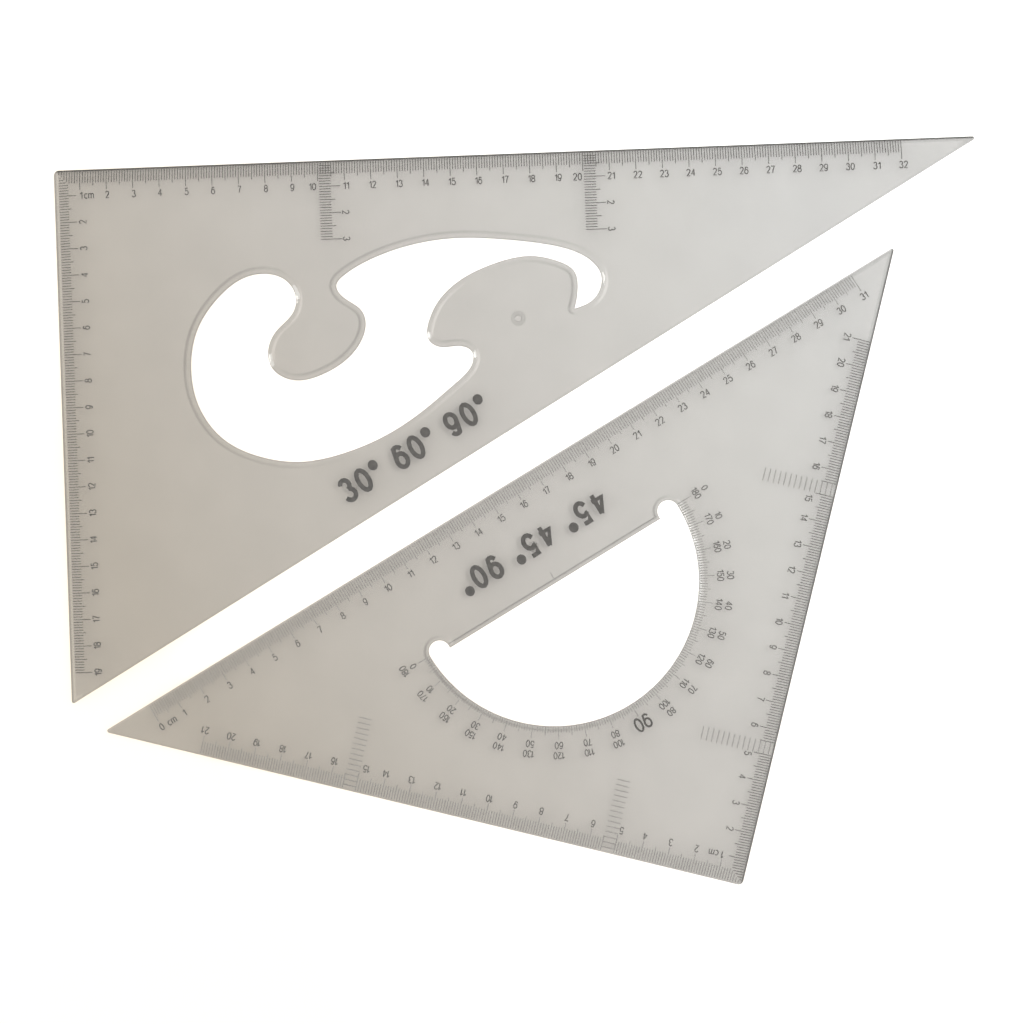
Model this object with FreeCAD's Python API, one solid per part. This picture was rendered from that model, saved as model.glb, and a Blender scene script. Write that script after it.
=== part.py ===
import FreeCAD, Part
import math
import os

os.makedirs("parts", exist_ok=True)

V = FreeCAD.Vector

# ---- driving dimensions, millimetres ----
LONG_LEG = 350.0            # long leg of the 30/60/90 square, which is also the hypotenuse of the other
SHORT_LEG = LONG_LEG / math.sqrt(3.0)
HALF_HYPOTENUSE = LONG_LEG / 2.0
THICKNESS = 3.0             # flat middle of both plates
EDGE_THICKNESS = 1.3        # what the bevel leaves at a ruling edge
BEVEL_WIDTH = 5.3
CORNER_RADIUS = 2.0         # right-angled corners
TIP_RADIUS = 0.8            # acute corners
RIM_DEPTH = 1.1             # slope round the top of both cut-outs
CURVE_RIM = 2.1             # its width round the French curve
DIAL_RIM = 1.4              # and round the protractor

# where the second square lies on the table, seen from the first one's right angle
REST_X = 164.1
REST_Y = -126.5
REST_TURN = 29.47           # degrees
# the row's origin, under the middle of the pair, seen from the same corner
ORIGIN_X = 173.9
ORIGIN_Y = -139.2

# printed marks
INK = 0.05                  # height of the print above the plastic
LINE = 0.26                 # width of a graduation
PRINT_START = 0.7           # the print stays this far inside a ruling edge
SHORT_START = 1.9           # and this far inside the short leg's
# how far in the marks for 1, 5 and 10 millimetres reach
SCALE_60 = (5.3, 6.4, 7.9)
SHORT_SCALE_60 = (5.6, 6.7, 8.5)
SCALE_45 = (5.4, 6.5, 7.7)
# the scales square to the long leg
CROSS_START = 0.4
CROSS_SCALE = (4.8, 6.4, 8.3)
# the ladders on the two equal legs
LADDER_NEAR = 50.0
LADDER_FAR = 150.0
RUNG = 0.32                 # width of a rung
RUNG_LENGTH = 5.0
RUNG_STEP = 2.0
RUNG_START = 0.1
RUNGS = 14

# protractor cut-out, from the middle of the hypotenuse
DIAL_X = -0.5
DIAL_Y = -40.4
DIAL_RADIUS = 54.6
EAR_RADIUS = 4.1
BASE_EDGE_Y = -41.3
BASE_LINE_Y = -40.0
BASE_LINE = 0.24            # width of the base line
BASE_LEFT = -46.4
BASE_RIGHT = 45.4
CENTRE_MARK = 3.0
DIAL_START = 0.3            # how far outside the cut-out the degree marks begin
DIAL_SCALE = (57.6, 58.7, 60.1)     # where those for 1, 5 and 10 degrees end

# moulding gate marks: middle and radius
GATE_DEPTH = 0.5
GATE_ROOT = 0.3             # how far the stub is sunk into the plastic
GATE_60 = (173.7, -62.5, 2.8)
GATE_45 = (-0.3, -25.3, 2.1)

# French curve, from the right angle of the 30/60/90 square. It starts and ends at the point of the crescent.
CURVE_POINTS = [
    (195.0, -59.5), (196.5, -52.0), (195.5, -45.5), (188.5, -41.0), (178.5, -39.0), (166.5, -41.0),
    (152.5, -47.0), (144.0, -54.5), (140.0, -62.0), (139.5, -69.0), (143.5, -72.0), (151.0, -72.0),
    (155.5, -74.0), (156.0, -78.0), (148.5, -86.5), (135.0, -97.0), (120.5, -105.5), (105.5, -111.0),
    (89.5, -113.5), (74.5, -111.0), (61.0, -104.0), (52.5, -92.5), (49.5, -79.5), (52.0, -63.0),
    (60.0, -51.0), (70.0, -43.5), (78.5, -42.0), (86.0, -44.5), (90.0, -51.0), (88.5, -57.5),
    (82.5, -63.5), (79.0, -70.5), (80.0, -77.5), (87.5, -82.5), (98.5, -81.0), (110.5, -73.5),
    (116.0, -63.0), (114.5, -57.0), (107.5, -51.5), (105.5, -47.2), (108.0, -44.0), (117.5, -38.5),
    (132.5, -33.5), (150.5, -31.2), (170.5, -32.5), (188.5, -35.5), (200.5, -40.5), (205.5, -47.5),
    (202.5, -56.0), (195.0, -59.5),
]
CURVE_LEAVES = (0.35, 1.0)      # direction away from the point
CURVE_RETURNS = (-1.0, -0.28)   # direction back into it


# ---- placing ----
def place_60(shape):
    """From the frame of the 30/60/90 square's right angle to the row frame."""
    moved = shape.copy()
    moved.translate(V(-ORIGIN_X, -ORIGIN_Y, 0))
    return moved


def place_45(shape):
    """From the frame of the 45/45/90 square's hypotenuse to the row frame."""
    moved = shape.copy()
    moved.rotate(V(0, 0, 0), V(0, 0, 1), REST_TURN)
    moved.translate(V(REST_X - ORIGIN_X, REST_Y - ORIGIN_Y, 0))
    return moved


def save(node, shape):
    shape.exportStep("parts/" + node + ".step")


# ---- outlines ----
def unit(a, b):
    length = math.hypot(b[0] - a[0], b[1] - a[1])
    return ((b[0] - a[0]) / length, (b[1] - a[1]) / length)


def rounded_outline(corners, radii):
    """A closed wire through the corners, each one rounded by a tangent arc."""
    count = len(corners)
    starts = []
    middles = []
    ends = []
    for i in range(count):
        corner = corners[i]
        back = unit(corner, corners[i - 1])
        forth = unit(corner, corners[(i + 1) % count])
        half = math.acos(back[0] * forth[0] + back[1] * forth[1]) / 2
        reach = radii[i] / math.tan(half)
        middle = unit((0, 0), (back[0] + forth[0], back[1] + forth[1]))
        bow = radii[i] / math.sin(half) - radii[i]
        starts.append(V(corner[0] + back[0] * reach, corner[1] + back[1] * reach, 0))
        middles.append(V(corner[0] + middle[0] * bow, corner[1] + middle[1] * bow, 0))
        ends.append(V(corner[0] + forth[0] * reach, corner[1] + forth[1] * reach, 0))
    edges = []
    for i in range(count):
        edges.append(Part.Arc(starts[i], middles[i], ends[i]).toShape())
        edges.append(Part.makeLine(ends[i], starts[(i + 1) % count]))
    return Part.Wire(edges)


def spline_slopes(values, times, first, last):
    """Slopes at each point of the smooth cubic through the values, given the slope at both ends."""
    count = len(values)
    above = [0.0] * count
    right = [first] + [0.0] * (count - 1)
    for i in range(1, count - 1):
        before = times[i] - times[i - 1]
        after = times[i + 1] - times[i]
        rise = after * (values[i] - values[i - 1]) / before + before * (values[i + 1] - values[i]) / after
        pivot = 2 * (before + after) - after * above[i - 1]
        above[i] = before / pivot
        right[i] = (3 * rise - after * right[i - 1]) / pivot
    right[-1] = last
    for i in range(count - 2, 0, -1):
        right[i] -= above[i] * right[i + 1]
    return right


def curve_slopes(points, times):
    """Slope vectors along the French curve; at its point they lie along the two given directions."""
    leaves = unit((0, 0), CURVE_LEAVES)
    returns = unit((0, 0), CURVE_RETURNS)
    speed = 1.5
    across = spline_slopes([p[0] for p in points], times, leaves[0] * speed, returns[0] * speed)
    up = spline_slopes([p[1] for p in points], times, leaves[1] * speed, returns[1] * speed)
    return list(zip(across, up))


def curve_piece(points, slopes, times, first, last, z):
    """One edge of the French curve, from one of its points to a later one."""
    poles = [V(points[first][0], points[first][1], z)]
    for i in range(first, last):
        third = (times[i + 1] - times[i]) / 3
        poles.append(V(points[i][0] + slopes[i][0] * third, points[i][1] + slopes[i][1] * third, z))
        after = i + 1
        poles.append(V(points[after][0] - slopes[after][0] * third,
                       points[after][1] - slopes[after][1] * third, z))
    poles.append(V(points[last][0], points[last][1], z))
    multiplicities = [4] + [2] * (last - first - 1) + [4]
    spline = Part.BSplineCurve()
    spline.buildFromPolesMultsKnots(poles, multiplicities, times[first:last + 1], False, 3)
    return spline.toShape()


def curve_wire(outward, z):
    """The French curve as a closed wire, moved outward into the plastic by a distance."""
    points = CURVE_POINTS
    times = [0.0]
    for a, b in zip(points, points[1:]):
        times.append(times[-1] + math.hypot(b[0] - a[0], b[1] - a[1]) ** 0.8)
    slopes = curve_slopes(points, times)
    if outward > 0:
        moved = []
        for point, slope in zip(points, slopes):
            along = unit((0, 0), slope)
            moved.append((point[0] - along[1] * outward, point[1] + along[0] * outward))
        leaves = unit((0, 0), CURVE_LEAVES)
        back = unit(CURVE_RETURNS, (0, 0))
        half = math.acos(leaves[0] * back[0] + leaves[1] * back[1]) / 2
        away = unit((leaves[0] + back[0], leaves[1] + back[1]), (0, 0))
        reach = outward / math.sin(half)
        moved[0] = (points[0][0] + away[0] * reach, points[0][1] + away[1] * reach)
        moved[-1] = moved[0]
        points = moved
        slopes = curve_slopes(points, times)
    pieces = []
    for first in range(0, len(points) - 1, 7):
        last = min(first + 7, len(points) - 1)
        pieces.append(curve_piece(points, slopes, times, first, last, z))
    return Part.Wire(pieces)


def dial_wire(outward, z):
    """The protractor cut-out: a straight edge, a round ear at each end and the arc below."""
    radius = DIAL_RADIUS + outward
    ear = EAR_RADIUS + outward
    edge_y = BASE_EDGE_Y + outward
    ear_x = DIAL_RADIUS - EAR_RADIUS
    side = math.sqrt(ear ** 2 - (edge_y - DIAL_Y) ** 2)
    left = V(DIAL_X - radius, DIAL_Y, z)
    right = V(DIAL_X + radius, DIAL_Y, z)
    bottom = V(DIAL_X, DIAL_Y - radius, z)
    left_top = V(DIAL_X - ear_x, DIAL_Y + ear, z)
    right_top = V(DIAL_X + ear_x, DIAL_Y + ear, z)
    left_end = V(DIAL_X - ear_x + side, edge_y, z)
    right_end = V(DIAL_X + ear_x - side, edge_y, z)
    return Part.Wire([
        Part.Arc(left, bottom, right).toShape(),
        Part.Arc(right, right_top, right_end).toShape(),
        Part.makeLine(right_end, left_end),
        Part.Arc(left_end, left_top, left).toShape(),
    ])


def cut_out(wire_at, rim_width):
    """The solid that a cut-out removes: its outline all the way down and a slope round the top."""
    shaft = Part.Face(wire_at(0, -1.0)).extrude(V(0, 0, THICKNESS + 2.0))
    low = wire_at(0, THICKNESS - RIM_DEPTH)
    high = wire_at(rim_width, THICKNESS)
    above = Part.Face(high).extrude(V(0, 0, 1.0))
    slope = Part.makeLoft([low, high], True, True)
    return shaft.fuse([slope, above])


# ---- plates ----
def bevel_cut(start, end, inward):
    """The wedge that a bevel removes along one ruling edge."""
    along = unit(start, end)
    drop = (THICKNESS - EDGE_THICKNESS) / BEVEL_WIDTH
    profile = [
        (-1.0, EDGE_THICKNESS - drop),
        (BEVEL_WIDTH, THICKNESS),
        (BEVEL_WIDTH, THICKNESS + 1.0),
        (-1.0, THICKNESS + 1.0),
    ]
    corners = []
    for across, z in profile + profile[:1]:
        x = start[0] - along[0] * 20.0 + inward[0] * across
        y = start[1] - along[1] * 20.0 + inward[1] * across
        corners.append(V(x, y, z))
    length = math.hypot(end[0] - start[0], end[1] - start[1]) + 40.0
    face = Part.Face(Part.makePolygon(corners))
    return face.extrude(V(along[0] * length, along[1] * length, 0))


def gate_mark(plate, x, y, radius):
    """A shallow round dimple with the stub of the moulding gate standing in it."""
    ball = (radius ** 2 + GATE_DEPTH ** 2) / (2 * GATE_DEPTH)
    dimple = Part.makeSphere(ball, V(x, y, THICKNESS - GATE_DEPTH + ball))
    foot = V(x, y, THICKNESS - GATE_DEPTH - GATE_ROOT)
    stub = Part.makeCone(radius * 0.5, radius * 0.34, GATE_DEPTH + GATE_ROOT, foot)
    return plate.cut(dimple).fuse(stub)


def plate(corners, radii, ruling_edges, wire_at, rim_width, gate):
    outline = rounded_outline(corners, radii)
    body = Part.Face(outline).extrude(V(0, 0, THICKNESS))
    tools = [bevel_cut(a, b, n) for a, b, n in ruling_edges]
    tools.append(cut_out(wire_at, rim_width))
    body = body.cut(tools)
    body = gate_mark(body, gate[0], gate[1], gate[2])
    return body.removeSplitter().Solids[0]


A = (0.0, 0.0)
B = (LONG_LEG, 0.0)
C = (0.0, -SHORT_LEG)
D = (-HALF_HYPOTENUSE, 0.0)
E = (HALF_HYPOTENUSE, 0.0)
F = (0.0, -HALF_HYPOTENUSE)
DIAGONAL = math.sqrt(0.5)

LONG_EDGE = (A, B, (0.0, -1.0))
SHORT_EDGE = (A, C, (1.0, 0.0))
HYPOTENUSE_EDGE = (D, E, (0.0, -1.0))
LEFT_EDGE = (F, D, (DIAGONAL, DIAGONAL))
RIGHT_EDGE = (F, E, (-DIAGONAL, DIAGONAL))

plate_60 = plate(
    [A, C, B],
    [CORNER_RADIUS, TIP_RADIUS, TIP_RADIUS],
    [LONG_EDGE, SHORT_EDGE],
    curve_wire,
    CURVE_RIM,
    GATE_60,
)
plate_45 = plate(
    [D, F, E],
    [TIP_RADIUS, CORNER_RADIUS, TIP_RADIUS],
    [HYPOTENUSE_EDGE, LEFT_EDGE, RIGHT_EDGE],
    dial_wire,
    DIAL_RIM,
    GATE_45,
)
save("plate_30_60_90", place_60(plate_60))
save("plate_45_45_90", place_45(plate_45))


# ---- printed marks ----
def top_z(across):
    """Height of a plate's top at a distance inside a ruling edge."""
    if across >= BEVEL_WIDTH:
        return THICKNESS
    return EDGE_THICKNESS + (THICKNESS - EDGE_THICKNESS) * across / BEVEL_WIDTH


def mark(edge, at, near, far, width):
    """A straight line printed square to a ruling edge, from near to far inside it, down over the bevel."""
    start, end, inward = edge
    along = unit(start, end)
    stops = [near, far]
    if near < BEVEL_WIDTH < far:
        stops = [near, BEVEL_WIDTH, far]
    profile = [(s, top_z(s)) for s in stops]
    profile += [(s, top_z(s) + INK) for s in reversed(stops)]
    corners = []
    for across, z in profile + profile[:1]:
        x = start[0] + along[0] * (at - width / 2) + inward[0] * across
        y = start[1] + along[1] * (at - width / 2) + inward[1] * across
        corners.append(V(x, y, z))
    face = Part.Face(Part.makePolygon(corners))
    return face.extrude(V(along[0] * width, along[1] * width, 0))


def pick(i, lengths):
    """The length of a graduation: one for every unit, a longer one for 5 and the longest for 10."""
    if i % 10 == 0:
        return lengths[2]
    if i % 5 == 0:
        return lengths[1]
    return lengths[0]


def edge_scale(edge, first, last, offset, lengths, start=PRINT_START, skip=()):
    """Millimetre marks from first to last; offset is where the zero stands, skip where a ladder does."""
    marks = []
    for i in range(first, last + 1):
        if any(low < i < high for low, high in skip):
            continue
        reach = pick(i, lengths)
        if offset == 0.0:
            reach = min(reach, i - LINE)    # as far as the line where two bevels meet
        marks.append(mark(edge, offset + i, start, reach, LINE))
    return Part.makeCompound(marks)


def slab(points, z, height):
    corners = [V(p[0], p[1], z) for p in points + points[:1]]
    return Part.Face(Part.makePolygon(corners)).extrude(V(0, 0, height))


def level_mark(edge, across, start_at, end_at, width):
    """A straight line printed parallel to a ruling edge, level with the plastic that it lies on."""
    start, end, inward = edge
    along = unit(start, end)
    near = across - width / 2
    far = across + width / 2
    profile = [(near, top_z(near)), (far, top_z(far)), (far, top_z(far) + INK), (near, top_z(near) + INK)]
    corners = []
    for v, z in profile + profile[:1]:
        x = start[0] + along[0] * start_at + inward[0] * v
        y = start[1] + along[1] * start_at + inward[1] * v
        corners.append(V(x, y, z))
    length = end_at - start_at
    face = Part.Face(Part.makePolygon(corners))
    return face.extrude(V(along[0] * length, along[1] * length, 0))


def cross_scale(x, last):
    """Marks from a line square to the long leg, one a millimetre, that run along the leg."""
    marks = []
    for i in range(2, last + 1):
        marks.append(level_mark(LONG_EDGE, i, x + CROSS_START, x + pick(i, CROSS_SCALE), LINE))
    return Part.makeCompound(marks)


def ladder(edge, at):
    """Rungs parallel to the ruling edge, for ruling evenly spaced lines."""
    rungs = []
    for i in range(1, RUNGS + 1):
        rungs.append(level_mark(edge, RUNG_START + RUNG_STEP * i, at, at + RUNG_LENGTH, RUNG))
    return Part.makeCompound(rungs)


def dial_reach(out, radius):
    """How far from the middle of the base line a direction meets a circle round the cut-out's centre."""
    dx = -DIAL_X
    dy = BASE_LINE_Y - DIAL_Y
    along = out[0] * dx + out[1] * dy
    return math.sqrt(along ** 2 - dx ** 2 - dy ** 2 + radius ** 2) - along


def dial_scale():
    """One mark a degree, all pointing at the middle of the base line, from the slope of the rim outward."""
    marks = []
    start_z = THICKNESS - RIM_DEPTH * (1 - DIAL_START / DIAL_RIM)
    for degree in range(0, 181):
        turn = math.radians(180 + degree)
        out = (math.cos(turn), math.sin(turn))
        near = (dial_reach(out, DIAL_RADIUS + DIAL_START), start_z)
        crest = (dial_reach(out, DIAL_RADIUS + DIAL_RIM), THICKNESS)
        far = (pick(degree, DIAL_SCALE), THICKNESS)
        profile = [near, crest, far] + [(r, z + INK) for r, z in (far, crest, near)]
        corners = []
        for r, z in profile + profile[:1]:
            x = out[0] * r + out[1] * LINE / 2
            y = out[1] * r - out[0] * LINE / 2
            corners.append(V(x, y + BASE_LINE_Y, z))
        face = Part.Face(Part.makePolygon(corners))
        marks.append(face.extrude(V(-out[1] * LINE, out[0] * LINE, 0)))
    return Part.makeCompound(marks)


def base_line():
    """The 0 to 180 degree line above the straight edge, with the centre mark."""
    low = BASE_EDGE_Y + DIAL_RIM
    high = low + BASE_LINE
    top = low + CENTRE_MARK
    half = BASE_LINE / 2
    line = slab([(BASE_LEFT, low), (BASE_RIGHT, low), (BASE_RIGHT, high), (BASE_LEFT, high)], THICKNESS, INK)
    tick = slab([(-half, low), (half, low), (half, top), (-half, top)], THICKNESS, INK)
    return line.fuse(tick).removeSplitter()


LADDERS = ((LADDER_NEAR, LADDER_NEAR + RUNG_LENGTH), (LADDER_FAR, LADDER_FAR + RUNG_LENGTH))

save("long_leg_scale", place_60(edge_scale(LONG_EDGE, 2, 320, 0.0, SCALE_60)))
save("short_leg_scale", place_60(edge_scale(SHORT_EDGE, 3, 190, 0.0, SHORT_SCALE_60, SHORT_START)))
save("cross_scale_at_10_cm", place_60(cross_scale(100.0, 30)))
save("cross_scale_at_20_cm", place_60(cross_scale(200.0, 30)))
save("hypotenuse_scale", place_45(edge_scale(HYPOTENUSE_EDGE, 0, 310, 20.0, SCALE_45)))
save("left_leg_scale", place_45(edge_scale(LEFT_EDGE, 2, 210, 0.0, SCALE_45, skip=LADDERS)))
save("right_leg_scale", place_45(edge_scale(RIGHT_EDGE, 2, 210, 0.0, SCALE_45, skip=LADDERS)))
save("left_ladder_at_5_cm", place_45(ladder(LEFT_EDGE, LADDER_NEAR)))
save("left_ladder_at_15_cm", place_45(ladder(LEFT_EDGE, LADDER_FAR)))
save("right_ladder_at_5_cm", place_45(ladder(RIGHT_EDGE, LADDER_NEAR)))
save("right_ladder_at_15_cm", place_45(ladder(RIGHT_EDGE, LADDER_FAR)))
save("protractor_scale", place_45(dial_scale()))
save("protractor_base_line", place_45(base_line()))
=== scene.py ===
import math

import bpy
import numpy as np
from mathutils import Matrix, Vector
from mathutils.geometry import delaunay_2d_cdt


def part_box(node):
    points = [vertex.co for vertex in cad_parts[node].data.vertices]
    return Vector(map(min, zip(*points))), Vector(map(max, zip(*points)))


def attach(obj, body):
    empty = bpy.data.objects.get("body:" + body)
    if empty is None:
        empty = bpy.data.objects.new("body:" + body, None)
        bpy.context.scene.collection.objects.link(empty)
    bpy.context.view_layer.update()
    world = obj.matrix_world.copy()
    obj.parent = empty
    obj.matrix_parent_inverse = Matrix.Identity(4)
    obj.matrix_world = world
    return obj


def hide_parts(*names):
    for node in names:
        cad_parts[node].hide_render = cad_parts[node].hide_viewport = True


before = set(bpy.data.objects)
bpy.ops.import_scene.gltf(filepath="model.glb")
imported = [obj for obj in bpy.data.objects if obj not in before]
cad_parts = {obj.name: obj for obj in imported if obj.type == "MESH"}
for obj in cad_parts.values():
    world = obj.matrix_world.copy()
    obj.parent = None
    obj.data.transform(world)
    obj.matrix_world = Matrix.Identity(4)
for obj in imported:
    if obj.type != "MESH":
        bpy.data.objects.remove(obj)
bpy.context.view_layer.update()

MM = 0.001

# ---- sizes in millimetres, the same as the CAD's ----
LONG_LEG = 350.0
SHORT_LEG = LONG_LEG / math.sqrt(3.0)
HALF_HYPOTENUSE = LONG_LEG / 2.0
THICKNESS = 3.0
EDGE_THICKNESS = 1.3
BEVEL_WIDTH = 5.3
CORNER_RADIUS = 2.0
TIP_RADIUS = 0.8
RIM_DEPTH = 1.1
CURVE_RIM = 2.1
DIAL_RIM = 1.4
REST_X = 164.1
REST_Y = -126.5
REST_TURN = math.radians(29.47)
DIAL_X = -0.5
DIAL_Y = -40.4
DIAL_RADIUS = 54.6
EAR_RADIUS = 4.1
BASE_EDGE_Y = -41.3
BASE_LINE_Y = -40.0
BASE_STEPS = 59             # along the straight edge
GATE_DEPTH = 0.5
GATE_60 = (173.7, -62.5, 2.8)
GATE_45 = (-0.3, -25.3, 2.1)

# how the visual plates refine the CAD ones
UNDER_INK = 0.005           # their top lies this far under the print's underside
EDGE_BREAK = 0.3            # rounding of the outer edges
EDGE_STEPS = (0.0, 0.6, 1.1, 1.6, 2.0)     # distances inward over which an outer edge's painted shade and painted light change
OUTLINE_INSETS = (0.0, 0.03, 0.1, EDGE_BREAK) + EDGE_STEPS[1:]
LEE = (0.55, -0.15)         # a cut-out's slope that faces this way is turned from the light and painted darker
LEE_ALL_ROUND = 0.4         # and this much of it counts for every slope
# strengths of the painted shade on slopes turned from the light, and of the painted light on those turned to
# it
LEE_SHADE = 0.6
LIT_SHADE = 4.5
RIM_BREAK = 0.15            # rounding where a cut-out's wall meets its slope
STEEPEST = 1.02             # over 1 by enough to keep the rounding's steepness finite at the wall
CREST = 0.8                 # half the width over which a slope rounds off into the flat top
STEP = 0.7                  # spacing of points along a cut-out
ARC_STEPS = 10              # steps round a corner of a plate, an even number
GATE_STEPS = 40
LEAST_AREA = 1e-7           # twice the area below which a triangle counts as flat
SMOOTH_WITHIN = 0.8         # cosine of the widest angle between a face and a smooth normal
FLOOR_GAP = 0.2             # air under the plates

# French curve, from the right angle of the 30/60/90 square. It starts and ends at the point of the crescent.
CURVE_POINTS = [
    (195.0, -59.5), (196.5, -52.0), (195.5, -45.5), (188.5, -41.0), (178.5, -39.0), (166.5, -41.0),
    (152.5, -47.0), (144.0, -54.5), (140.0, -62.0), (139.5, -69.0), (143.5, -72.0), (151.0, -72.0),
    (155.5, -74.0), (156.0, -78.0), (148.5, -86.5), (135.0, -97.0), (120.5, -105.5), (105.5, -111.0),
    (89.5, -113.5), (74.5, -111.0), (61.0, -104.0), (52.5, -92.5), (49.5, -79.5), (52.0, -63.0),
    (60.0, -51.0), (70.0, -43.5), (78.5, -42.0), (86.0, -44.5), (90.0, -51.0), (88.5, -57.5),
    (82.5, -63.5), (79.0, -70.5), (80.0, -77.5), (87.5, -82.5), (98.5, -81.0), (110.5, -73.5),
    (116.0, -63.0), (114.5, -57.0), (107.5, -51.5), (105.5, -47.2), (108.0, -44.0), (117.5, -38.5),
    (132.5, -33.5), (150.5, -31.2), (170.5, -32.5), (188.5, -35.5), (200.5, -40.5), (205.5, -47.5),
    (202.5, -56.0), (195.0, -59.5),
]
CURVE_LEAVES = (0.35, 1.0)  # its direction at the first point
CURVE_RETURNS = (-1.0, -0.28)
CURVE_PACE = 0.8            # the spline's time goes with this power of the distance between points
CURVE_SPEED = 1.5
FAN_STEPS = 12              # round the crescent's point

A = (0.0, 0.0)
B = (LONG_LEG, 0.0)
C = (0.0, -SHORT_LEG)
D = (-HALF_HYPOTENUSE, 0.0)
E = (HALF_HYPOTENUSE, 0.0)
F = (0.0, -HALF_HYPOTENUSE)

# the right angle of the 30/60/90 square is the upper left corner of its box
low_60, high_60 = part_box("plate_30_60_90")
PLACE_60 = Matrix.Translation((low_60.x, high_60.y, 0.0)) @ Matrix.Scale(MM, 4)
PLACE_45 = (
    PLACE_60
    @ Matrix.Translation((REST_X, REST_Y, 0.0))
    @ Matrix.Rotation(REST_TURN, 4, "Z")
)


# ---- outlines ----
def unit(v):
    v = np.asarray(v, float)
    return v / np.linalg.norm(v)


def inward_of(start, end, inside):
    """The unit vector square to an edge that points at the inside of the plate."""
    along = unit(np.subtract(end, start))
    square = np.array([-along[1], along[0]])
    if np.dot(np.subtract(inside, start), square) < 0:
        return -square
    return square


def rounded(corners, radii, inset):
    """Points and outward directions round a convex outline with rounded corners, moved inward by inset."""
    points = []
    outward = []
    count = len(corners)
    for i in range(count):
        corner = np.array(corners[i])
        back = unit(np.subtract(corners[i - 1], corner))
        forth = unit(np.subtract(corners[(i + 1) % count], corner))
        half = math.acos(np.dot(back, forth)) / 2
        middle = unit(back + forth)
        centre = corner + middle * radii[i] / math.sin(half)
        radius = max(radii[i] - inset, 0.05)
        if inset > radii[i]:
            centre = corner + middle * (inset + radius) / math.sin(half)
        first = centre - corner - back * np.dot(centre - corner, back)
        last = centre - corner - forth * np.dot(centre - corner, forth)
        for k in range(ARC_STEPS + 1):
            t = k / ARC_STEPS
            out = -unit(unit(first) * (1 - t) + unit(last) * t)
            points.append(centre + out * radius)
            outward.append(out)
    return np.array(points), np.array(outward)


def spline_slopes(values, times, first, last):
    """Slopes of the smooth cubic through the values, given the slope at both ends."""
    count = len(values)
    above = [0.0] * count
    right = [first] + [0.0] * (count - 1)
    for i in range(1, count - 1):
        before = times[i] - times[i - 1]
        after = times[i + 1] - times[i]
        rise = after * (values[i] - values[i - 1]) / before + before * (values[i + 1] - values[i]) / after
        pivot = 2 * (before + after) - after * above[i - 1]
        above[i] = before / pivot
        right[i] = (3 * rise - after * right[i - 1]) / pivot
    right[-1] = last
    for i in range(count - 2, 0, -1):
        right[i] -= above[i] * right[i + 1]
    return np.array(right)


def curve_line():
    """Points along the French curve and their directions into the plastic, which fan out at its point."""
    knots = np.array(CURVE_POINTS)
    chords = np.linalg.norm(np.diff(knots, axis=0), axis=1)
    times = np.concatenate([[0.0], np.cumsum(chords ** CURVE_PACE)])
    leaves = unit(CURVE_LEAVES) * CURVE_SPEED
    returns = unit(CURVE_RETURNS) * CURVE_SPEED
    slopes = np.column_stack([
        spline_slopes(list(knots[:, k]), list(times), leaves[k], returns[k]) for k in (0, 1)
    ])
    points = []
    inward = []
    for i, chord in enumerate(chords):
        span = times[i + 1] - times[i]
        pieces = math.ceil(chord / STEP)
        for k in range(pieces + (i == len(chords) - 1)):
            t = k / pieces
            start = knots[i] * (1 + 2 * t) * (1 - t) ** 2 + slopes[i] * span * t * (1 - t) ** 2
            end = knots[i + 1] * t * t * (3 - 2 * t) + slopes[i + 1] * span * t * t * (t - 1)
            points.append(start + end)
            speed = (
                (knots[i + 1] - knots[i]) * 6 * t * (1 - t)
                + slopes[i] * span * (1 - t) * (1 - 3 * t)
                + slopes[i + 1] * span * t * (3 * t - 2)
            )
            along = unit(speed)
            inward.append(np.array([-along[1], along[0]]))
    before = math.atan2(inward[-1][1], inward[-1][0])
    after = math.atan2(inward[0][1], inward[0][0])
    turn = (after - before) % math.tau
    if turn > math.pi:
        turn -= math.tau
    for k in range(1, FAN_STEPS):
        angle = before + turn * k / FAN_STEPS
        points.append(points[0])
        inward.append(np.array([math.cos(angle), math.sin(angle)]))
    return np.array(points), np.array(inward)


CURVE, CURVE_INWARD = curve_line()


def curve_ring(outward):
    return CURVE + CURVE_INWARD * outward, CURVE_INWARD


def arc(centre, radius, start, end):
    """Points and outward directions from one angle to another, both in radians."""
    count = max(2, math.ceil(abs(end - start) * radius / STEP))
    angles = np.linspace(start, end, count + 1)
    out = np.column_stack([np.cos(angles), np.sin(angles)])
    return np.array(centre) + out * radius, out


def dial_ring(outward):
    """The protractor cut-out, moved outward into the plastic: arc, ear, straight edge, ear."""
    radius = DIAL_RADIUS + outward
    ear = EAR_RADIUS + outward
    ear_x = DIAL_RADIUS - EAR_RADIUS
    drop = math.asin((BASE_EDGE_Y + outward - DIAL_Y) / ear)
    big = arc((DIAL_X, DIAL_Y), radius, math.pi, math.tau)
    right = arc((DIAL_X + ear_x, DIAL_Y), ear, 0.0, math.pi - drop)
    left = arc((DIAL_X - ear_x, DIAL_Y), ear, drop, math.pi)
    start = right[0][-1]
    end = left[0][0]
    across = np.linspace(0, 1, BASE_STEPS + 1)[1:-1, None]
    line = (start + (end - start) * across, np.tile([0.0, 1.0], (BASE_STEPS - 1, 1)))
    stretches = [(big[0][:-1], big[1][:-1]), right, line, (left[0][:-1], left[1][:-1])]
    return np.vstack([s[0] for s in stretches]), np.vstack([s[1] for s in stretches])


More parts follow.
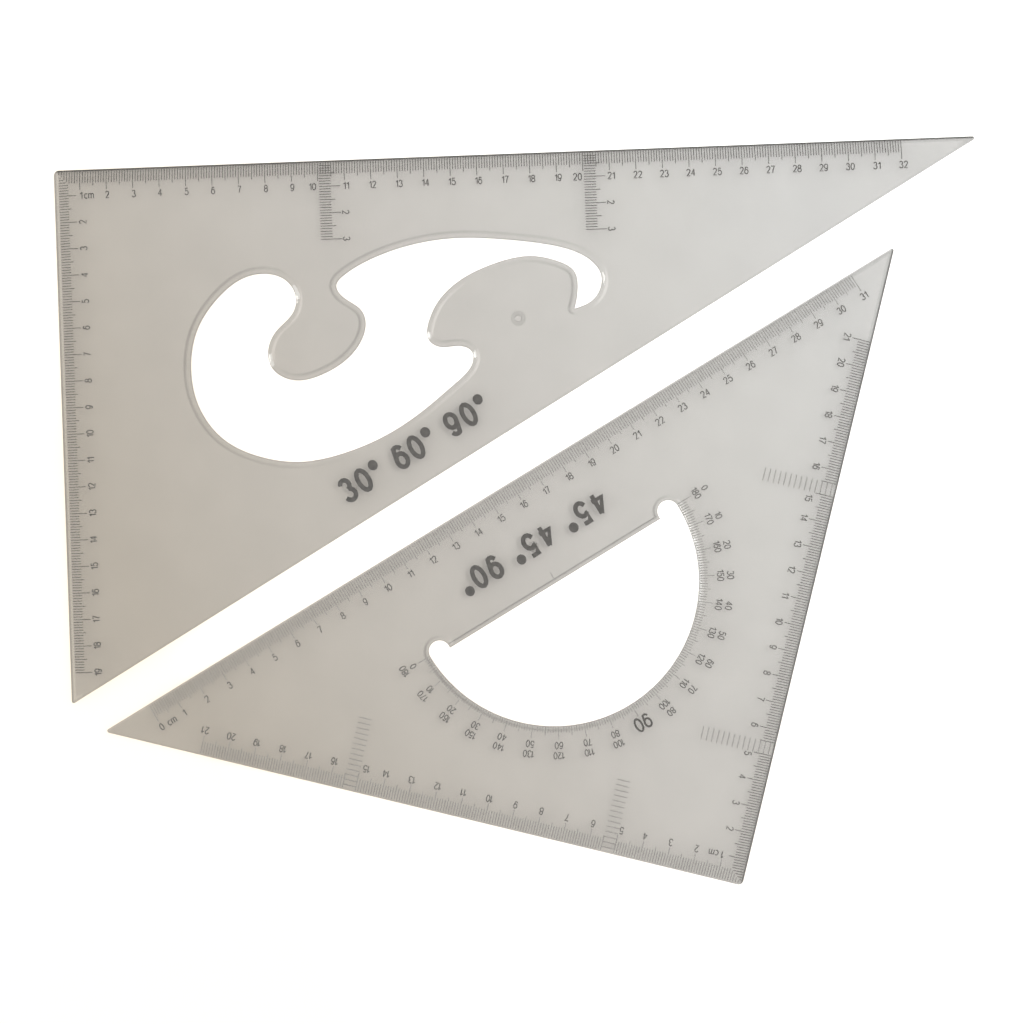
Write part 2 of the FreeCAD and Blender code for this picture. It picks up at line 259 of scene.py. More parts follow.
# ---- plates ----
def slope_profile(width):
    """Height, steepness, painted shade and painted lee shade of a cut-out's rim by distance outward, up to
    the flat top.
    """
    steep = RIM_DEPTH / width
    # distance outward, painted shade, and the share of the painted shade that goes by direction
    stops = [
        (0.0, 0.7, 0.0), (0.05, 0.7, 0.0), (RIM_BREAK, 0.5, 0.0), (0.32, 0.0, 0.0), (width / 2, 0.0, 0.0),
        (width - CREST, 0.0, 0.15), (width - CREST / 3, 0.0, 0.75), (width, 0.0, 1.0),
        (width + CREST / 3, 0.0, 0.75), (width + CREST, 0.0, 0.0),
    ]
    profile = []
    for out, shade, lee in stops:
        if out < width - CREST:
            z = THICKNESS - RIM_DEPTH + steep * out
            rise = steep
        else:
            left = width + CREST - out
            z = THICKNESS - steep * left ** 2 / (4 * CREST)
            rise = steep * left / (2 * CREST)
        if out < RIM_BREAK:
            share = 1 - out / RIM_BREAK
            z -= RIM_BREAK * (1 - math.sqrt(1 - share ** 2))
            rise += share / math.sqrt(STEEPEST - share ** 2)
        profile.append((out, z, rise, shade, lee))
    return profile


def gate_profile(radius):
    """Height, steepness and painted shade across a moulding gate mark: a round dimple with a stub in it,
    painted darker inside.
    """
    ball = (radius ** 2 + GATE_DEPTH ** 2) / (2 * GATE_DEPTH)
    profile = [(radius * 1.12, THICKNESS, 0.0, 0.0), (radius * 1.02, THICKNESS - 0.005, 0.1, 0.1)]
    for share in (0.96, 0.88, 0.8, 0.72, 0.64, 0.56, 0.5):
        r = radius * share
        profile.append((r, THICKNESS - GATE_DEPTH + ball - math.sqrt(ball ** 2 - r ** 2), r / ball, 0.3))
    profile += [
        (radius * 0.44, THICKNESS - 0.25, -2.0, 0.4),
        (radius * 0.39, THICKNESS - 0.07, -1.0, 0.2),
        (radius * 0.33, THICKNESS - 0.015, -0.3, 0.0),
        (radius * 0.2, THICKNESS, 0.0, 0.0),
    ]
    return profile


def inside(points, loop):
    """Whether each point is inside a closed loop."""
    x, y = points[:, 0, None], points[:, 1, None]
    x0, y0 = loop[:, 0], loop[:, 1]
    x1, y1 = np.roll(x0, -1), np.roll(y0, -1)
    rise = np.where(y1 == y0, 1e-12, y1 - y0)
    crosses = ((y0 > y) != (y1 > y)) & (x < x0 + (y - y0) * (x1 - x0) / rise)
    return crosses.sum(1) % 2 == 1


class Drawing:
    """A plate's lines seen from above, and what is known at each point of them."""

    def __init__(self):
        self.points = []
        self.heights = []
        self.shades = []
        self.normals = []
        self.sides = []
        self.edges = []

    def add(self, loop, heights, normals=None, sides=None, shade=0.0, closed=True):
        """normals are the top's and sides the wall's, where they are smooth."""
        first = len(self.points)
        count = len(loop)
        self.points.extend(loop)
        self.heights.extend(heights)
        self.shades.extend(np.broadcast_to(shade, count))
        self.normals.extend(normals or [None] * count)
        self.sides.extend(sides or [None] * count)
        self.edges.extend((first + i, first + i + 1) for i in range(count - 1))
        if closed:
            self.edges.append((first + count - 1, first))


def bevelled_top(points, corners, ruled):
    """Height of the top over each point, before its edges are rounded."""
    height = np.full(len(points), THICKNESS)
    steep = (THICKNESS - EDGE_THICKNESS) / BEVEL_WIDTH
    middle = np.mean(corners, 0)
    for start, end in ruled:
        across = (points - np.array(start)) @ inward_of(start, end, middle)
        height = np.minimum(height, EDGE_THICKNESS + steep * np.maximum(across, 0.0))
    return height


def edge_drop(inset):
    """How far the rounding of an outer edge lowers the top, at a distance in from the edge."""
    share = np.clip(1 - inset / EDGE_BREAK, 0, 1)
    return EDGE_BREAK * (1 - np.sqrt(1 - share ** 2))


def draw_outline(drawing, corners, radii, ruled):
    for inset in OUTLINE_INSETS:
        loop, out = rounded(corners, radii, inset)
        height = bevelled_top(loop, corners, ruled) - edge_drop(inset)
        drawing.add(loop, height, sides=[(o[0], o[1], 0.0) for o in out])


def draw_creases(drawing, corners, radii, ruled):
    """The creases between the bevels and the flat top, and between two bevels."""
    outer = rounded(corners, radii, 0.0)[0]
    count = len(corners)
    either_way = ruled + [edge[::-1] for edge in ruled]
    bevelled = [(corners[i], corners[(i + 1) % count]) in either_way for i in range(count)]
    crease = []
    for i in range(count):
        corner = np.array(corners[i])
        before = unit(np.subtract(corners[i - 1], corner))
        after = unit(np.subtract(corners[(i + 1) % count], corner))
        sine = abs(before[0] * after[1] - before[1] * after[0])
        shift = np.zeros(2)
        if bevelled[i]:
            shift += before * BEVEL_WIDTH / sine
        if bevelled[i - 1]:
            shift += after * BEVEL_WIDTH / sine
        crease.append(corner + shift)
    lines = []
    for i in range(count):
        if bevelled[i]:
            lines.append([crease[i], crease[(i + 1) % count]])
        if bevelled[i] and bevelled[i - 1]:
            lines.append([outer[i * (ARC_STEPS + 1) + ARC_STEPS // 2], crease[i]])
    for line in np.array(lines):
        drawing.add(line, bevelled_top(line, corners, ruled), closed=False)


def draw_rim(drawing, ring_at, rim_width):
    """A cut-out's wall and slope, with painted shade: slopes turned from the light are painted darker, and
    those turned to it are painted lighter.
    """
    for out, z, rise, shade, lee in slope_profile(rim_width):
        loop, away = ring_at(out)
        turned = LEE_ALL_ROUND - away @ np.array(LEE)
        shade = shade + lee * np.where(turned > 0, LEE_SHADE * turned, LIT_SHADE * turned)
        normals = [tuple(unit((-rise * a[0], -rise * a[1], 1.0))) for a in away]
        sides = [(-a[0], -a[1], 0.0) for a in away] if out == 0.0 else None
        drawing.add(loop, [z] * len(loop), normals, sides, shade)


def draw_gate(drawing, x, y, size):
    angles = np.linspace(0, math.tau, GATE_STEPS + 1)[:-1]
    spokes = np.column_stack([np.cos(angles), np.sin(angles)])
    for radius, z, rise, shade in gate_profile(size):
        normals = [tuple(unit((-rise * s[0], -rise * s[1], 1.0))) for s in spokes]
        drawing.add(np.array((x, y)) + spokes * radius, [z] * GATE_STEPS, normals, shade=shade)


def shaded_edges(insets, edge_shades):
    """The strongest of the outer edges' painted shades and painted lights at each point, by its distances in
    from them.
    """
    by_edge = np.array([
        np.interp(across, EDGE_STEPS, (outer_shade, outer_shade, inner_shade, inner_shade, 0.0))
        for across, (outer_shade, inner_shade) in zip(insets, edge_shades)
    ])
    strongest = np.abs(by_edge).argmax(axis=0)
    return by_edge[strongest, np.arange(len(strongest))]


def filled(flat, triangles, outer, hole):
    """The triangles between the outline and the cut-out, none of them flat, all with the same turn."""
    triangles = np.array([t for t in triangles if len(t) == 3])
    centres = flat[triangles].mean(1)
    triangles = triangles[inside(centres, outer) & ~inside(centres, hole)]
    a, b, c = flat[triangles[:, 0]], flat[triangles[:, 1]], flat[triangles[:, 2]]
    area = (b - a)[:, 0] * (c - a)[:, 1] - (b - a)[:, 1] * (c - a)[:, 0]
    triangles = triangles[np.abs(area) > LEAST_AREA]
    area = area[np.abs(area) > LEAST_AREA]
    triangles[area < 0] = triangles[area < 0][:, ::-1]
    return triangles


def closed_mesh(name, flat, z, shade, triangles):
    """The top, the same triangles again underneath, and walls between them all round."""
    total = len(flat)
    once = {}
    for t in triangles:
        for i in range(3):
            p, q = int(t[i]), int(t[(i + 1) % 3])
            if (q, p) in once:
                del once[(q, p)]
            else:
                once[(p, q)] = True
    faces = [tuple(int(i) for i in t) for t in triangles]
    faces += [tuple(int(i) + total for i in t[::-1]) for t in triangles]
    walls = [(p, p + total, q + total, q) for p, q in once]
    spots = [(p[0], p[1], h) for p, h in zip(flat, z)] + [(p[0], p[1], 0.0) for p in flat]
    mesh = bpy.data.meshes.new(name)
    mesh.from_pydata(spots, [], faces + walls)
    mesh.update()
    # painted shade, and painted light where it is below zero; the underside gets none
    layer = mesh.attributes.new("edge_shade", "FLOAT", "POINT")
    layer.data.foreach_set("value", np.concatenate([shade, np.zeros(total)]))
    return mesh


def smooth_normals(mesh, drawing, origins):
    """Gives each corner of a face the drawing's normal, where that is known and close to the face's own."""
    total = len(origins)
    top_faces = sum(1 for polygon in mesh.polygons if len(polygon.vertices) == 3) // 2

    def smooth(face, vertex, kinds):
        known = next((kinds[o] for o in origins[vertex % total] if kinds[o] is not None), None)
        if known is None or np.dot(known, face) < SMOOTH_WITHIN:
            return face
        return known

    normals = []
    for polygon in mesh.polygons:
        face = tuple(polygon.normal)
        for vertex in polygon.vertices:
            if polygon.index < top_faces:
                normals.append(smooth(face, vertex, drawing.normals))
            elif polygon.index < 2 * top_faces:
                normals.append(face)
            else:
                normals.append(smooth(face, vertex, drawing.sides))
    mesh.shade_smooth()
    mesh.normals_split_custom_set(normals)


def plate(name, corners, radii, ruled, edge_shades, ring_at, rim_width, gate, place):
    """One plate as a closed mesh: bevels, rounded edges, a cut-out with its sloping rim and the gate mark.

    The attribute edge_shade carries painted shade, which darkens the plastic near edges and rims, and painted
    light, which lightens it where it is below zero.
    edge_shades are its values at each outer edge and a little way in, in the order of the corners.
    """
    drawing = Drawing()
    draw_outline(drawing, corners, radii, ruled)
    draw_creases(drawing, corners, radii, ruled)
    draw_rim(drawing, ring_at, rim_width)
    draw_gate(drawing, *gate)
    vertices, _, triangles, origins, _, _ = delaunay_2d_cdt(drawing.points, drawing.edges, [], 0, 1e-4)

    flat = np.array([(v[0], v[1]) for v in vertices])
    middle = np.mean(corners, 0)
    count = len(corners)
    insets = np.array([
        (flat - np.array(corners[i])) @ inward_of(corners[i], corners[(i + 1) % count], middle)
        for i in range(count)
    ])
    z = bevelled_top(flat, corners, ruled) - edge_drop(insets.min(axis=0))
    shade = shaded_edges(insets, edge_shades)
    for i, origin in enumerate(origins):
        if origin:
            z[i] = drawing.heights[origin[0]]
            if drawing.shades[origin[0]]:
                shade[i] = drawing.shades[origin[0]]
    z -= UNDER_INK

    # only the points that a triangle uses stay
    triangles = filled(flat, triangles, rounded(corners, radii, 0.0)[0], ring_at(0.0)[0])
    used, triangles = np.unique(triangles, return_inverse=True)
    triangles = triangles.reshape(-1, 3)
    mesh = closed_mesh(name, flat[used], z[used], shade[used], triangles)
    smooth_normals(mesh, drawing, [origins[i] for i in used])
    mesh.transform(place)
    piece = bpy.data.objects.new(name, mesh)
    bpy.context.scene.collection.objects.link(piece)
    return piece


# ---- materials ----
def new_material(name):
    material = bpy.data.materials.new(name)
    material.use_nodes = True
    tree = material.node_tree
    tree.nodes.clear()
    return material, tree


def node(tree, kind, **values):
    made = tree.nodes.new(kind)
    for key, value in values.items():
        if key in made.inputs:
            made.inputs[key].default_value = value
        else:
            setattr(made, key, value)
    return made


def noise(tree, scale, detail):
    place = node(tree, "ShaderNodeTexCoord")
    made = node(tree, "ShaderNodeTexNoise", Scale=scale, Detail=detail)
    tree.links.new(place.outputs["Object"], made.inputs["Vector"])
    return made.outputs["Fac"]


def ramp(tree, source, low, high):
    """A colour that goes from low to high as source goes from 0.3 to 0.7."""
    made = node(tree, "ShaderNodeValToRGB")
    made.color_ramp.elements[0].position = 0.3
    made.color_ramp.elements[0].color = (*low, 1)
    made.color_ramp.elements[1].position = 0.7
    made.color_ramp.elements[1].color = (*high, 1)
    tree.links.new(source, made.inputs["Fac"])
    return made.outputs["Color"]


def spread(tree, source, low, high):
    """A number that goes from low to high as source goes from 0.3 to 0.7."""
    made = node(tree, "ShaderNodeMapRange")
    made.inputs["From Min"].default_value = 0.3
    made.inputs["From Max"].default_value = 0.7
    made.inputs["To Min"].default_value = low
    made.inputs["To Max"].default_value = high
    tree.links.new(source, made.inputs["Value"])
    return made.outputs["Result"]


def bump(tree, source, distance, strength):
    made = node(tree, "ShaderNodeBump", Strength=strength, Distance=distance)
    tree.links.new(source, made.inputs["Height"])
    return made.outputs["Normal"]


# base colours, from the clear plastic's to the painted shade and painted light of its edges
PLASTIC_DARK = (0.391, 0.391, 0.387)
PLASTIC_LIGHT = (0.409, 0.409, 0.405)
PAINTED_SHADE_COLOUR = (0.015, 0.0145, 0.0135)
PAINTED_LIGHT_COLOUR = (0.70, 0.70, 0.70)
LAMPLIGHT = (0.89, 0.89, 0.89)     # what it lets through of a lamp's light


def clear_plastic():
    """Clear injection-moulded acrylic with a faint smoky tint, polished, with a slight ripple."""
    material, tree = new_material("clear_plastic")
    shader = node(tree, "ShaderNodeBsdfPrincipled", IOR=1.49)
    shader.inputs["Transmission Weight"].default_value = 1.0
    tint = ramp(tree, noise(tree, 55.0, 3.0), PLASTIC_DARK, PLASTIC_LIGHT)
    # painted shade darkens the plastic near edges and rims, and painted light lightens it where edge_shade is
    # below zero
    shade = node(tree, "ShaderNodeAttribute", attribute_name="edge_shade")
    darken = node(tree, "ShaderNodeMix", data_type="RGBA")
    tree.links.new(shade.outputs["Fac"], darken.inputs[0])
    tree.links.new(tint, darken.inputs[6])
    darken.inputs[7].default_value = (*PAINTED_SHADE_COLOUR, 1)
    gather = node(tree, "ShaderNodeMath", operation="MULTIPLY")
    gather.inputs[1].default_value = -1.0
    tree.links.new(shade.outputs["Fac"], gather.inputs[0])
    lighten = node(tree, "ShaderNodeMix", data_type="RGBA")
    tree.links.new(gather.outputs[0], lighten.inputs[0])
    tree.links.new(darken.outputs[2], lighten.inputs[6])
    lighten.inputs[7].default_value = (*PAINTED_LIGHT_COLOUR, 1)
    tree.links.new(lighten.outputs[2], shader.inputs["Base Color"])
    tree.links.new(spread(tree, noise(tree, 320.0, 2.0), 0.02, 0.05), shader.inputs["Roughness"])
    tree.links.new(bump(tree, noise(tree, 35.0, 1.0), 0.00004, 0.04), shader.inputs["Normal"])
    lamp = node(tree, "ShaderNodeBsdfTransparent", Color=(*LAMPLIGHT, 1))
    path = node(tree, "ShaderNodeLightPath")
    either = node(tree, "ShaderNodeMath", operation="MAXIMUM")
    tree.links.new(path.outputs["Is Shadow Ray"], either.inputs[0])
    tree.links.new(path.outputs["Is Diffuse Ray"], either.inputs[1])
    mix = node(tree, "ShaderNodeMixShader")
    tree.links.new(either.outputs[0], mix.inputs[0])
    tree.links.new(shader.outputs[0], mix.inputs[1])
    tree.links.new(lamp.outputs[0], mix.inputs[2])
    out = node(tree, "ShaderNodeOutputMaterial")
    tree.links.new(mix.outputs[0], out.inputs["Surface"])
    return material


def ink(name, dark, light):
    """Screen-printed ink: matte, a little uneven in density."""
    material, tree = new_material(name)
    shader = node(tree, "ShaderNodeBsdfPrincipled", IOR=1.45)
    tree.links.new(ramp(tree, noise(tree, 700.0, 3.0), dark, light), shader.inputs["Base Color"])
    tree.links.new(spread(tree, noise(tree, 1500.0, 2.0), 0.45, 0.65), shader.inputs["Roughness"])
    tree.links.new(bump(tree, noise(tree, 4000.0, 2.0), 0.00001, 0.4), shader.inputs["Normal"])
    out = node(tree, "ShaderNodeOutputMaterial")
    tree.links.new(shader.outputs[0], out.inputs["Surface"])
    return material


def white_ground():
    """White paper under an even light, with painted shade: its colour turns a little warmer and darker
    towards the left of the table, where it stands in for dimmer, warmer light.
    """
    material, tree = new_material("white_ground")
    shader = node(tree, "ShaderNodeBsdfPrincipled")
    place = node(tree, "ShaderNodeTexCoord")
    across = node(tree, "ShaderNodeVectorMath", operation="DOT_PRODUCT")
    across.inputs[1].default_value = (1.0, 0.45, 0.0)
    tree.links.new(place.outputs["Object"], across.inputs[0])
    reach = node(tree, "ShaderNodeMapRange")
    reach.inputs["From Min"].default_value = -0.16
    reach.inputs["From Max"].default_value = 0.16
    tree.links.new(across.outputs["Value"], reach.inputs["Value"])
    painted_shade_ramp = node(tree, "ShaderNodeValToRGB")
    # painted shade, from the left of the table to the right
    stops = painted_shade_ramp.color_ramp.elements
    stops[0].color = (0.66, 0.592, 0.50, 1)
    stops[1].color = (0.95, 0.95, 0.945, 1)
    stops.new(0.5).color = (0.82, 0.787, 0.747, 1)
    stops.new(0.78).color = (0.913, 0.90, 0.875, 1)
    tree.links.new(reach.outputs["Result"], painted_shade_ramp.inputs["Fac"])
    tree.links.new(painted_shade_ramp.outputs["Color"], shader.inputs["Base Color"])
    shader.inputs["Roughness"].default_value = 0.9
    shader.inputs["Specular IOR Level"].default_value = 0.1
    out = node(tree, "ShaderNodeOutputMaterial")
    tree.links.new(shader.outputs[0], out.inputs["Surface"])
    return material


PLASTIC = clear_plastic()
PRINT = ink("print_ink", (0.030, 0.028, 0.026), (0.055, 0.052, 0.048))
WORN_PRINT = ink("worn_print_ink", (0.11, 0.108, 0.103), (0.16, 0.157, 0.15))
SOFT_PRINT = ink("soft_print_ink", (0.045, 0.043, 0.04), (0.075, 0.072, 0.067))
LADDER_PRINT = ink("ladder_ink", (0.12, 0.117, 0.11), (0.17, 0.167, 0.158))


# ---- lettering, in capital heights until it is placed ----
BEND_STEP = 24              # degrees between two points of a bend
LOWER_CASE = 0.72
GAP = 0.20                  # between two signs
BOLD_GAP = 0.36
THIN = 0.15                 # width of a stroke
BOLD = 0.215
MITRE_LIMIT = 0.7           # cosine past which the joint of two strokes grows no longer
INK_HEIGHT = 0.045          # in millimetres


def bend(x, y, across, up, start, end):
    """Points along part of an ellipse: its middle, half its width and height, and two angles in degrees."""
    count = max(3, round(abs(end - start) / BEND_STEP))
    angles = np.radians(np.linspace(start, end, count + 1))
    return [(x + across * math.cos(a), y + up * math.sin(a)) for a in angles]


# Each sign is its width and its strokes, along their middles, for capitals one unit high.
SIGNS = {
    "0": (0.50, [bend(0.25, 0.5, 0.25, 0.5, 90, 450)]),
    "1": (0.28, [[(0.0, 0.74), (0.17, 0.82), (0.28, 1.0)], [(0.28, 1.0), (0.28, 0.0)]]),
    "2": (0.50, [bend(0.25, 0.74, 0.24, 0.26, 170, -35) + [(0.20, 0.22), (0.0, 0.0), (0.50, 0.0)]]),
    "3": (0.50, [bend(0.24, 0.755, 0.21, 0.245, 165, -80), bend(0.25, 0.26, 0.25, 0.27, 80, -168)]),
    "4": (0.54, [[(0.38, 0.0), (0.38, 1.0)], [(0.38, 1.0), (0.0, 0.29), (0.54, 0.29)]]),
    "5": (0.50, [[(0.45, 1.0), (0.10, 1.0), (0.04, 0.50)] + bend(0.25, 0.33, 0.25, 0.33, 140, -160)]),
    "6": (0.50, [bend(0.26, 0.70, 0.23, 0.30, 25, 120) + bend(0.25, 0.33, 0.25, 0.33, 180, 520)]),
    "7": (0.48, [[(0.0, 1.0), (0.48, 1.0), (0.28, 0.55), (0.19, 0.0)]]),
    "8": (0.50, [bend(0.25, 0.76, 0.21, 0.24, 270, 630), bend(0.25, 0.26, 0.25, 0.26, 90, 450)]),
    "9": (0.50, [bend(0.24, 0.30, 0.23, 0.30, 205, 300) + bend(0.25, 0.67, 0.25, 0.33, 0, 340)]),
    "c": (0.42, [bend(0.23, 0.36, 0.23, 0.36, 45, 315)]),
    "m": (0.72, [
        [(0.0, 0.0), (0.0, LOWER_CASE)],
        [(0.0, 0.50)] + bend(0.18, 0.50, 0.18, 0.22, 150, 0) + [(0.36, 0.0)],
        [(0.36, 0.50)] + bend(0.54, 0.50, 0.18, 0.22, 150, 0) + [(0.72, 0.0)],
    ]),
    "°": (0.24, [bend(0.12, 0.86, 0.12, 0.14, 90, 450)]),
    " ": (0.20, []),
}
def stroke_quads(path, width):
    """The outline of a stroke as a row of four-sided pieces with mitred joints."""
    path = np.array(path)
    closed = np.allclose(path[0], path[-1])
    along = np.diff(path, axis=0)
    along /= np.linalg.norm(along, axis=1)[:, None]
    square = np.column_stack([-along[:, 1], along[:, 0]])
    before = np.vstack([square[-1:] if closed else square[:1], square])
    after = np.vstack([square, square[:1] if closed else square[-1:]])
    mitre = before + after
    mitre /= np.maximum((mitre * before).sum(1), MITRE_LIMIT)[:, None]
    left = path + mitre * width / 2
    right = path - mitre * width / 2
    return [np.array([right[i], right[i + 1], left[i + 1], left[i]]) for i in range(len(path) - 1)]


MERGED = {}


def merged_sign(sign, width):
    """The flat shape of a sign, its strokes merged: points, triangles and the edges round them."""
    if (sign, width) not in MERGED:
        quads = [quad for path in SIGNS[sign][1] for quad in stroke_quads(path, width)]
        corners = [tuple(corner) for quad in quads for corner in quad]
        faces = [[4 * i, 4 * i + 1, 4 * i + 2, 4 * i + 3] for i in range(len(quads))]
        points, _, triangles, _, _, sources = delaunay_2d_cdt(corners, [], faces, 1, 1e-5)
        triangles = [t for t, source in zip(triangles, sources) if source]
        seen = {(t[i], t[(i + 1) % 3]) for t in triangles for i in range(3)}
        rim = [(a, b) for a, b in sorted(seen) if (b, a) not in seen]
        MERGED[(sign, width)] = (np.array([(p[0], p[1]) for p in points]), [tuple(t) for t in triangles], rim)
    return MERGED[(sign, width)]


def lettering(name, labels, place, body, material, weight=THIN, gap=GAP):
    """Printed words as one piece. A label is (text, x, y, turn in degrees, height), placed by its middle."""
    points = []
    faces = []
    for text, x, y, turn, height in labels:
        length = sum(SIGNS[sign][0] for sign in text) + gap * (len(text) - 1)
        tall = LOWER_CASE if text == "cm" else 1.0
        angle = math.radians(turn)
        turned = np.array([[math.cos(angle), math.sin(angle)], [-math.sin(angle), math.cos(angle)]])
        pen = -length / 2
        for sign in text:
            if SIGNS[sign][1]:
                shape, triangles, rim = merged_sign(sign, weight)
                flat = (shape + (pen, -tall / 2)) * height @ turned + (x, y)
                first = len(points)
                count = len(flat)
                points.extend((p[0], p[1], THICKNESS + INK_HEIGHT) for p in flat)
                points.extend((p[0], p[1], THICKNESS) for p in flat)
                faces.extend(tuple(first + i for i in t) for t in triangles)
                faces.extend(tuple(first + count + i for i in reversed(t)) for t in triangles)
                faces.extend((first + b, first + a, first + count + a, first + count + b) for a, b in rim)
            pen += SIGNS[sign][0] + gap
    mesh = bpy.data.meshes.new(name)
    mesh.from_pydata(points, [], faces)
    mesh.transform(place)
    mesh.update()
    piece = bpy.data.objects.new(name, mesh)
    bpy.context.scene.collection.objects.link(piece)
    mesh.materials.append(material)
    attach(piece, body)
    return piece


# ---- build ----
# painted shade, for light lost, and painted light (below zero), for light gathered, at the short leg, the
# hypotenuse and the long leg
SHADES_60 = ((0.4, -0.45), (0.15, 0.0), (1.0, 0.3))
# and at the left leg, the right leg and the hypotenuse
SHADES_45 = ((0.1, 0.0), (0.95, 0.25), (-0.3, 0.0))

plate_60 = plate(
    "clear_plate_30_60_90", [A, C, B], [CORNER_RADIUS, TIP_RADIUS, TIP_RADIUS],
    [(A, B), (A, C)], SHADES_60, curve_ring, CURVE_RIM, GATE_60, PLACE_60,
)
plate_45 = plate(
    "clear_plate_45_45_90", [D, F, E], [TIP_RADIUS, CORNER_RADIUS, TIP_RADIUS],
    [(D, E), (F, D), (F, E)], SHADES_45, dial_ring, DIAL_RIM, GATE_45, PLACE_45,
)
for piece, cad_node, body in (
    (plate_60, "plate_30_60_90", "square_30_60_90"),
    (plate_45, "plate_45_45_90", "square_45_45_90"),
):
    piece.data.materials.append(PLASTIC)
    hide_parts(cad_node)
    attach(piece, body)

# the second square's print is fainter, as if worn
INKS = {
    "hypotenuse_scale": WORN_PRINT,
    "left_leg_scale": WORN_PRINT,
    "right_leg_scale": SOFT_PRINT,
    "protractor_scale": WORN_PRINT,
    "protractor_base_line": WORN_PRINT,
}
for name, cad_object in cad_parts.items():
    if "plate" not in name:
        wanted = LADDER_PRINT if "ladder" in name else INKS.get(name, PRINT)
        for slot in cad_object.material_slots:
            slot.material = wanted

# heights of the print, and how far each row of numerals is from its edge
NUMERAL = 2.5
DIAL_NUMERAL = 2.4
RIGHT_ANGLE_NUMERAL = 5.0
TITLE_60_HEIGHT = 8.1
TITLE_45_HEIGHT = 7.9
LONG_ROW = 10.0
SHORT_ROW = 10.7
CROSS_ROW = 10.1
BASE_ROW = 9.9
LEG_ROW = 9.7
DIAL_ROWS = (62.4, 66.2)    # from the middle of the base line
BESIDE_LADDER = {5: 49.0, 15: 147.6}    # numerals that make room for a ladder
TITLE_60_ALONG = 160.75     # middle of the bold print, along the hypotenuse and in from it
TITLE_60_IN = 13.35
TITLE_45_X = 0.5
TITLE_45_Y = -24.2

long_labels = [("1", 10.4, -LONG_ROW, 0, NUMERAL), ("cm", 13.4, -10.3, 0, NUMERAL)]
for i in range(2, 33):
    # a cross scale hangs under 10 and 20, so these two stand on its left
    shift = 0.3 if i < 10 else -2.1 if i in (10, 20) else 0.6
    long_labels.append((str(i), 10.0 * i + shift, -LONG_ROW, 0, NUMERAL))
lettering("long_leg_numerals", long_labels, PLACE_60, "square_30_60_90", PRINT)

short_labels = [(str(i), SHORT_ROW, -10.0 * i, 90, NUMERAL) for i in range(2, 20)]
lettering("short_leg_numerals", short_labels, PLACE_60, "square_30_60_90", PRINT)

cross_labels = [(str(i), x + CROSS_ROW, -10.0 * i, -90, NUMERAL) for x in (100.0, 200.0) for i in (2, 3)]
lettering("cross_scale_numerals", cross_labels, PLACE_60, "square_30_60_90", PRINT)

base_labels = [(str(i), -155.0 + 10.0 * i, -BASE_ROW, 0, NUMERAL) for i in range(32)]
base_labels.append(("cm", -150.6, -10.2, 0, NUMERAL))
lettering("hypotenuse_numerals", base_labels, PLACE_45, "square_45_45_90", SOFT_PRINT)


def leg_label(text, along, row, direction, inward, turn):
    """A label by one of the equal legs: how far it is from the right angle and in from the edge."""
    spot = np.array(F) + np.array(direction) * along + np.array(inward) * row
    return (text, spot[0], spot[1], turn, NUMERAL)


H = math.sqrt(0.5)
LEFT = ((-H, H), (H, H), 135)
RIGHT = ((H, H), (-H, H), -135)
left_labels = [leg_label(str(i), BESIDE_LADDER.get(i, 10.0 * i), LEG_ROW, *LEFT) for i in range(1, 22)]
left_labels.append(leg_label("cm", 13.6, 10.0, *LEFT))
right_labels = [leg_label(str(i), BESIDE_LADDER.get(i, 10.0 * i), LEG_ROW, *RIGHT) for i in range(2, 22)]
lettering("left_leg_numerals", left_labels, PLACE_45, "square_45_45_90", SOFT_PRINT)
lettering("right_leg_numerals", right_labels, PLACE_45, "square_45_45_90", SOFT_PRINT)

dial_labels = []
for degree in range(0, 181, 10):
    if degree == 90:
        continue
    angle = math.radians(180 + degree)
    for radius, value in zip(DIAL_ROWS, (degree, 180 - degree)):
        x = math.cos(angle) * radius
        y = BASE_LINE_Y + math.sin(angle) * radius
        dial_labels.append((str(value), x, y, 90 + degree, DIAL_NUMERAL))
lettering("protractor_numerals", dial_labels, PLACE_45, "square_45_45_90", SOFT_PRINT)
right_angle_label = ("90", 0.2, -103.2, 180, RIGHT_ANGLE_NUMERAL)
lettering("protractor_ninety", [right_angle_label], PLACE_45, "square_45_45_90", PRINT)

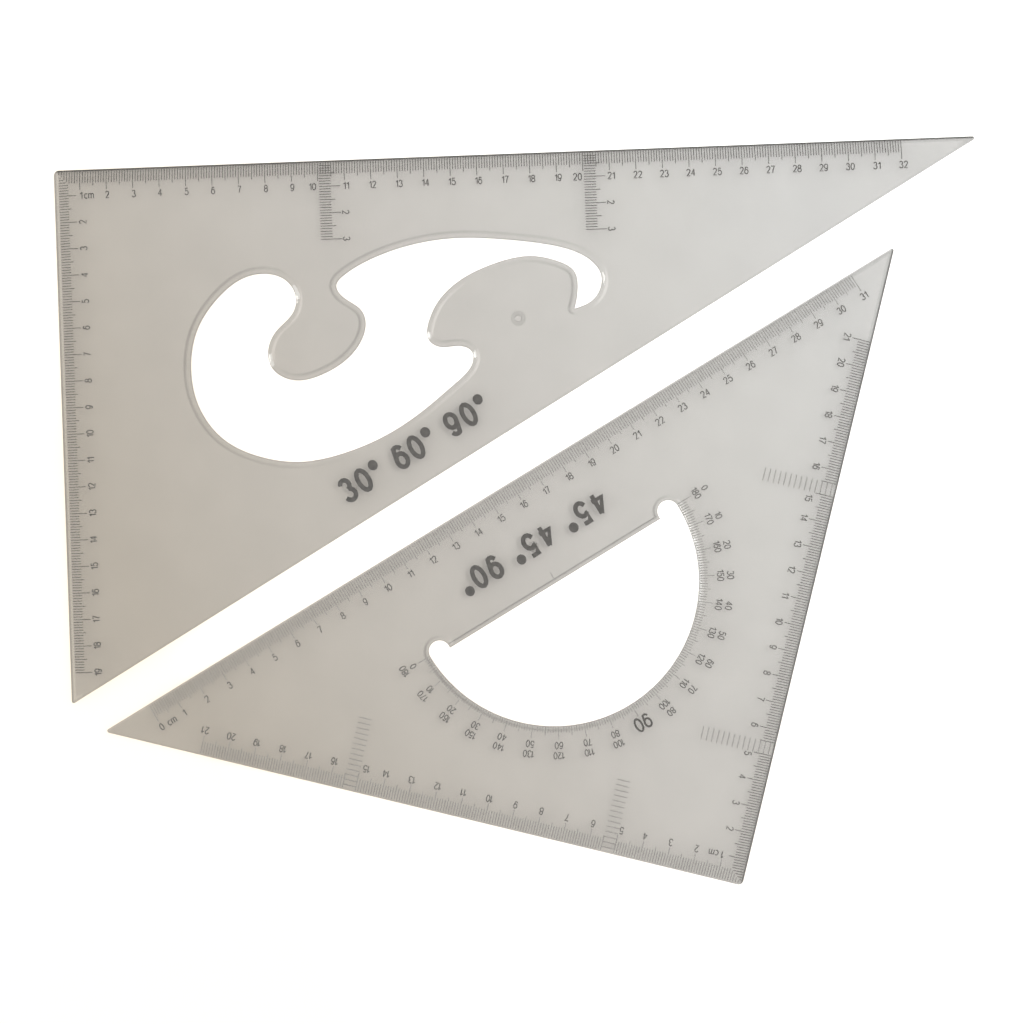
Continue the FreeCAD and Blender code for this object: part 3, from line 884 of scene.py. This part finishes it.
# bold lettering along the hypotenuses: the squares' own angles
COS_30 = math.cos(math.radians(30))
title_x = TITLE_60_ALONG * COS_30 - TITLE_60_IN * 0.5
title_y = -SHORT_LEG + TITLE_60_ALONG * 0.5 + TITLE_60_IN * COS_30
title_60 = ("30° 60° 90°", title_x, title_y, 30, TITLE_60_HEIGHT)
title_45 = ("45° 45° 90°", TITLE_45_X, TITLE_45_Y, 180, TITLE_45_HEIGHT)
lettering("angles_30_60_90", [title_60], PLACE_60, "square_30_60_90", PRINT, BOLD, BOLD_GAP)
lettering("angles_45_45_90", [title_45], PLACE_45, "square_45_45_90", PRINT, BOLD, BOLD_GAP)

# ---- ground, light and camera ----
GROUND = 3.0                # half its width in metres
ground_z = -FLOOR_GAP * MM
ground_mesh = bpy.data.meshes.new("ground")
ground_spots = [(x * GROUND, y * GROUND, ground_z) for x, y in ((-1, -1), (1, -1), (1, 1), (-1, 1))]
ground_mesh.from_pydata(ground_spots, [], [(0, 1, 2, 3)])
ground_mesh.materials.append(white_ground())
ground = bpy.data.objects.new("ground", ground_mesh)
bpy.context.scene.collection.objects.link(ground)

world = bpy.data.worlds.new("studio")
world.use_nodes = True
world.node_tree.nodes["Background"].inputs["Color"].default_value = (1.0, 0.99, 0.97, 1)
world.node_tree.nodes["Background"].inputs["Strength"].default_value = 1.72
bpy.context.scene.world = world


def softbox(name, spot, size, power, colour):
    """A square lamp that faces the middle of the table."""
    lamp = bpy.data.lights.new(name, "AREA")
    lamp.shape = "SQUARE"
    lamp.size = size
    lamp.energy = power
    lamp.color = colour
    holder = bpy.data.objects.new(name, lamp)
    bpy.context.scene.collection.objects.link(holder)
    holder.location = spot
    turn = math.atan2(-spot[0], spot[1])
    tilt = math.atan2(math.hypot(spot[0], spot[1]), spot[2])
    holder.rotation_euler = (tilt, 0.0, turn + math.pi)
    return holder


key = softbox("key_light", (0.7, 0.28, 1.25), 0.3, 6.5, (1.0, 0.98, 0.95))
key.visible_glossy = False  # its mirror image would be a white line along every rim
softbox("window_light", (-1.3, -0.1, 0.6), 0.6, 5.0, (0.95, 0.98, 1.0))

# almost straight down, from a metre above the table
camera_data = bpy.data.cameras.new("camera")
camera_data.lens = 92.8
camera_data.sensor_width = 36.0
camera_data.clip_start = 0.01
camera = bpy.data.objects.new("camera", camera_data)
bpy.context.scene.collection.objects.link(camera)
camera.location = (0.00688, -0.00716, 0.99616)
camera.rotation_euler = (math.radians(0.612), math.radians(0.719), math.radians(-2.059))
bpy.context.scene.camera = camera
bpy.context.scene.view_settings.view_transform = "Standard"
